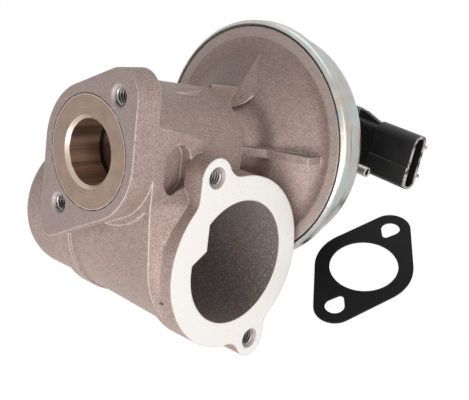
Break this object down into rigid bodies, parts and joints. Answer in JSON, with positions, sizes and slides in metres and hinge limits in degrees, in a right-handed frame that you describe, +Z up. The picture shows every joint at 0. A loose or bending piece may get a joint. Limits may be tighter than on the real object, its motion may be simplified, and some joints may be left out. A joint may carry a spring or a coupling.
{
  "type": "exhaust gas recirculation valve",
  "caption": "Vacuum-operated exhaust gas recirculation valve: cast two-flange body, crimped diaphragm can with position sensor, and a loose inlet gasket.",
  "frame": {"origin": "centre of the bounding box at its base, with the valve standing on its sensor lid, its lower outlet ear and the end of its duct", "axes": "+Z up from the bench, +X near the outlet's direction, -Y towards the side that the gas inlet faces"},
  "size_m": [0.1478, 0.1564, 0.1342],
  "materials": {
    "cast_aluminium": "cast, fine-grained, warm grey",
    "seat_steel": "turned hardened steel",
    "bronze_bush": "plain bronze bush",
    "seal_rubber": "black rubber",
    "zinc_plated_steel": "zinc-plated pressed steel",
    "bright_steel": "turned steel",
    "spring_steel": "drawn spring wire",
    "black_plastic": "black glass-filled moulding",
    "contact_bronze": "tinned contact bronze",
    "circuit_board": "coated glass-fibre board",
    "natural_plastic": "natural acetal",
    "gasket_black": "matte graphite-coated gasket sheet"
  },
  "bodies": {
    "housing": {"valve_body": "cast_aluminium", "seat_ring": "seat_steel", "stem_guide": "bronze_bush", "stem_seal": "seal_rubber", "seal_cup": "zinc_plated_steel", "diaphragm": "seal_rubber", "return_spring": "spring_steel", "cover": "zinc_plated_steel", "nipple": "zinc_plated_steel", "sensor_housing": "black_plastic", "sensor_lid": "black_plastic", "sensor_o_ring": "seal_rubber", "sensor_screws": "bright_steel", "terminals": "contact_bronze", "track_board": "circuit_board", "plunger_spring": "spring_steel", "gasket": "gasket_black"},
    "valve": {"valve_stem": "bright_steel", "poppet": "seat_steel", "lower_plate": "zinc_plated_steel", "spring_cup": "zinc_plated_steel", "stem_nut": "bright_steel"},
    "plunger": {"sensor_plunger": "natural_plastic", "wiper": "contact_bronze"}
  },
  "joints": [
    {"name": "valve_lift", "type": "slide", "parent": "housing", "child": "valve", "axis": [0.0827, 0.8779, -0.4716], "range_m": [0, 0.0065], "stiffness_N_per_m": 5000, "springref_m": -0.01, "deforming": ["return_spring", "diaphragm"]},
    {"name": "plunger_slide", "type": "slide", "parent": "housing", "child": "plunger", "axis": [0.0827, 0.8779, -0.4716], "range_m": [0, 0.0065], "deforming": ["plunger_spring"]}
  ],
  "couplings": [
    {"joint": "plunger_slide", "follows": "valve_lift", "ratio": 1}
  ]
}
